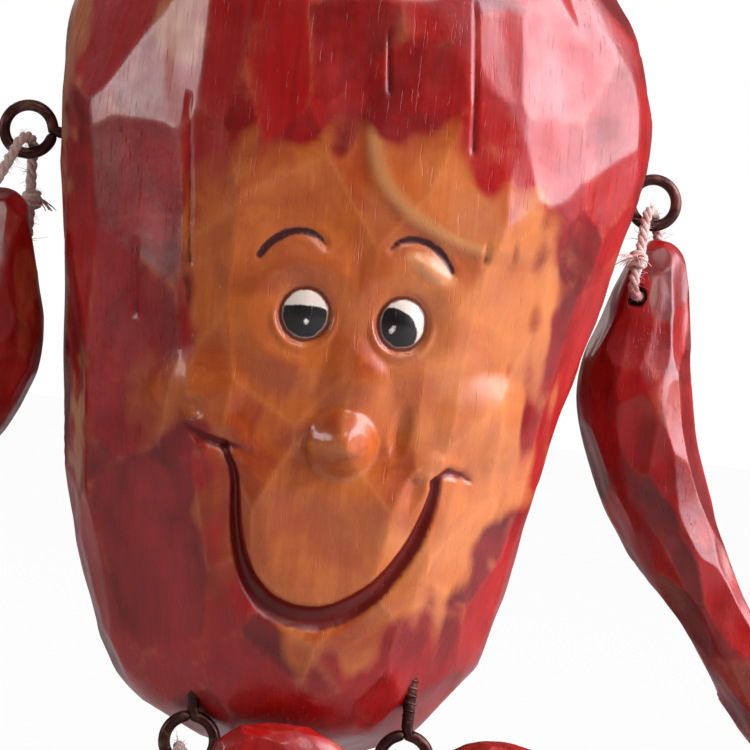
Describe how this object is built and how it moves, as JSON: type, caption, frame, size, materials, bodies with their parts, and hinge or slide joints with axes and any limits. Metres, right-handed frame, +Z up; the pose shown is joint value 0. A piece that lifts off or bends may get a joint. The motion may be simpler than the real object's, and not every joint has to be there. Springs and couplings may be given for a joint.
{
  "type": "stick puppet",
  "caption": "Carved wooden loose-jointed stick puppet: a bell-pepper head and trunk with pepper arms and legs hung on twine loops from screw eyes, held by a stick in its back.",
  "frame": {"origin": "on the stick's axis, where the stick's shoulder meets the back of the carved body", "axes": "+Z up, the face looks along -Y, the stick runs along +Y, +X is the viewer's right when facing the puppet"},
  "size_m": [0.2081, 0.2697, 0.229],
  "materials": {
    "stained_wood": "red stain over carved wood with an orange face, glossy varnish",
    "stained_limb_wood": "red stain over carved wood, glossy varnish",
    "bare_wood": "smooth turned dowel, oiled",
    "dark_iron": "dark browned steel wire",
    "twine": "twisted cotton twine, slightly stained"
  },
  "bodies": {
    "figure": {"pepper_body": "stained_wood", "handle_stick": "bare_wood", "screw_eye_left_arm": "dark_iron", "screw_eye_right_arm": "dark_iron", "screw_eye_left_leg": "dark_iron", "screw_eye_right_leg": "dark_iron"},
    "left_arm_loop": {"cord_left_arm": "twine"},
    "left_arm_limb": {"left_arm": "stained_limb_wood"},
    "left_leg_loop": {"cord_left_leg": "twine"},
    "left_leg_limb": {"left_leg": "stained_limb_wood"},
    "right_arm_loop": {"cord_right_arm": "twine"},
    "right_arm_limb": {"right_arm": "stained_limb_wood"},
    "right_leg_loop": {"cord_right_leg": "twine"},
    "right_leg_limb": {"right_leg": "stained_limb_wood"}
  },
  "joints": [
    {"name": "left_arm_swing", "type": "hinge", "parent": "figure", "child": "left_arm_loop", "pos_m": [-0.05675, -0.03509, 0.02332], "axis": [-1, 0, 0], "range_deg": [-60, 45]},
    {"name": "left_arm_aside", "type": "hinge", "parent": "left_arm_loop", "child": "left_arm_limb", "pos_m": [-0.05977, -0.03509, 0.00604], "axis": [0.4973, 0.866, -0.0523], "range_deg": [-8, 85]},
    {"name": "left_leg_swing", "type": "hinge", "parent": "figure", "child": "left_leg_loop", "pos_m": [-0.018, -0.05775, -0.0767], "axis": [-1, 0, 0], "range_deg": [-60, 8]},
    {"name": "left_leg_aside", "type": "hinge", "parent": "left_leg_loop", "child": "left_leg_limb", "pos_m": [-0.0135, -0.06525, -0.085], "axis": [0, 1, 0], "range_deg": [-2, 50]},
    {"name": "right_arm_swing", "type": "hinge", "parent": "figure", "child": "right_arm_loop", "pos_m": [0.0561, -0.02809, 0.0233], "axis": [-1, 0, 0], "range_deg": [-60, 35]},
    {"name": "right_arm_aside", "type": "hinge", "parent": "right_arm_loop", "child": "right_arm_limb", "pos_m": [0.0573, -0.02809, 0.01], "axis": [-0.5, -0.866, 0], "range_deg": [-3, 70]},
    {"name": "right_leg_swing", "type": "hinge", "parent": "figure", "child": "right_leg_loop", "pos_m": [0.018, -0.05775, -0.0767], "axis": [-1, 0, 0], "range_deg": [-60, 30]},
    {"name": "right_leg_aside", "type": "hinge", "parent": "right_leg_loop", "child": "right_leg_limb", "pos_m": [0.0225, -0.06525, -0.085], "axis": [0, 1, 0], "range_deg": [-2, 10]}
  ]
}
